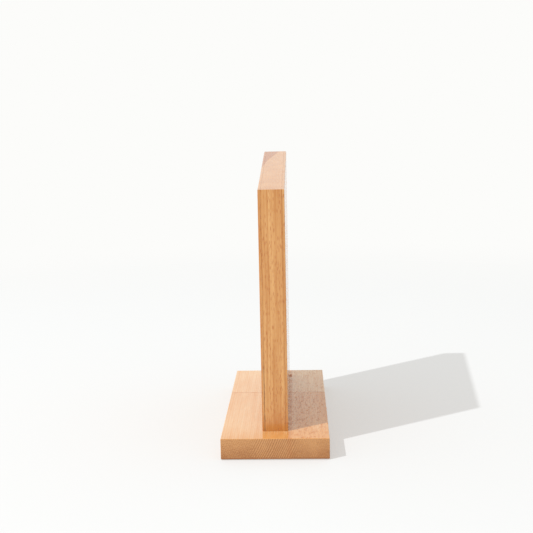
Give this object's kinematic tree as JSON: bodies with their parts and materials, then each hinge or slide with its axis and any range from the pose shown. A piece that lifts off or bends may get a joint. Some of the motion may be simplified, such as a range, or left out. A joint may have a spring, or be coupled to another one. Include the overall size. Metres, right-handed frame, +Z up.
{
  "type": "magnetic knife stand",
  "caption": "Free-standing double-sided magnetic knife stand: a thick wooden board with a sloping top edge, on edge along a flat rectangular base.",
  "frame": {"origin": "on the surface that the feet stand on, under the middle of the base", "axes": "+Z up, -Y towards the front end, +X towards the right holding face"},
  "size_m": [0.102, 0.235, 0.2805],
  "materials": {
    "base_beech": "satin oiled",
    "stand_beech": "satin oiled",
    "dowel_beech": "unfinished",
    "screw_steel": "zinc plated",
    "magnet_nickel": "nickel plated",
    "foot_rubber": "matte"
  },
  "bodies": {
    "root": {"base_front_length": "base_beech", "base_rear_length": "base_beech", "core_board": "stand_beech", "left_cover_board": "stand_beech", "right_cover_board": "stand_beech", "dowel_front": "dowel_beech", "dowel_rear": "dowel_beech", "screw_front": "screw_steel", "screw_middle": "screw_steel", "screw_rear": "screw_steel", "foot_front_left": "foot_rubber", "foot_front_right": "foot_rubber", "foot_rear_left": "foot_rubber", "foot_rear_right": "foot_rubber", "magnet_left_lower_1": "magnet_nickel", "magnet_left_lower_2": "magnet_nickel", "magnet_left_lower_3": "magnet_nickel", "magnet_left_lower_4": "magnet_nickel", "magnet_left_lower_5": "magnet_nickel", "magnet_left_upper_1": "magnet_nickel", "magnet_left_upper_2": "magnet_nickel", "magnet_left_upper_3": "magnet_nickel", "magnet_left_upper_4": "magnet_nickel", "magnet_left_upper_5": "magnet_nickel", "magnet_right_lower_1": "magnet_nickel", "magnet_right_lower_2": "magnet_nickel", "magnet_right_lower_3": "magnet_nickel", "magnet_right_lower_4": "magnet_nickel", "magnet_right_lower_5": "magnet_nickel", "magnet_right_upper_1": "magnet_nickel", "magnet_right_upper_2": "magnet_nickel", "magnet_right_upper_3": "magnet_nickel", "magnet_right_upper_4": "magnet_nickel", "magnet_right_upper_5": "magnet_nickel"}
  },
  "joints": []
}
